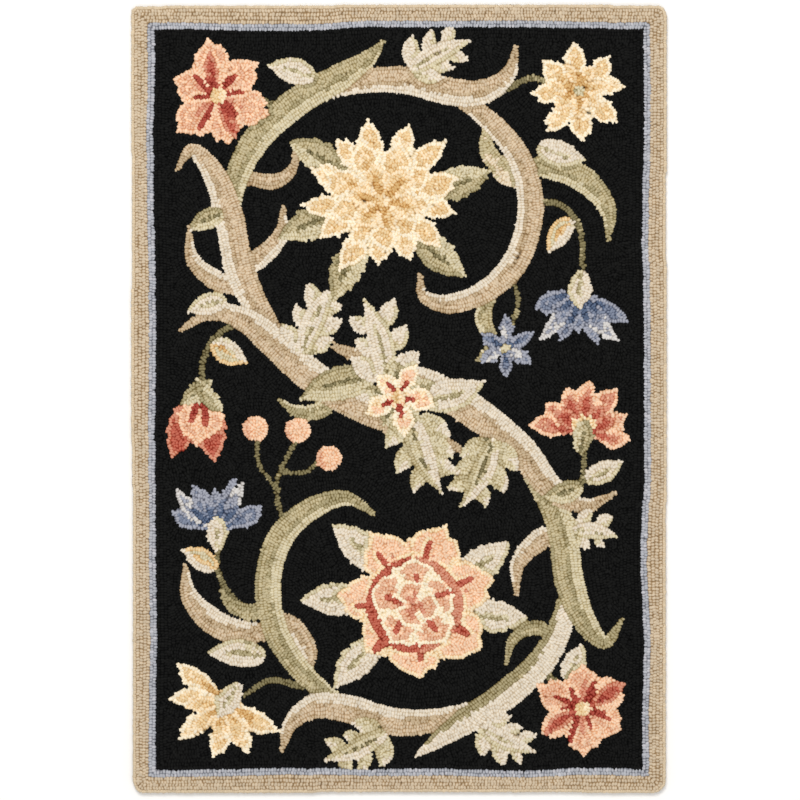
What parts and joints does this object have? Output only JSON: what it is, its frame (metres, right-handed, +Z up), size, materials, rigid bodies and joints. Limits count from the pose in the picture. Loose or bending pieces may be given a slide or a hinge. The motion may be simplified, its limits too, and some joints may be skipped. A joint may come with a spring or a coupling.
{
  "type": "hooked rug",
  "caption": "Small oblong hooked wool rug lying flat: looped pile on a canvas, plain border, contrast line and a scrolling flower field.",
  "frame": {"origin": "middle of the underside, on the floor that the rug lies on", "axes": "+Z up out of the pile, +Y along the rug's length, +X across its width"},
  "size_m": [0.6124, 0.9018, 0.009],
  "materials": {
    "hooked_wool": "dense looped wool yarn pile, matt"
  },
  "bodies": {
    "root": {"hooked_rug": "hooked_wool"}
  },
  "joints": []
}
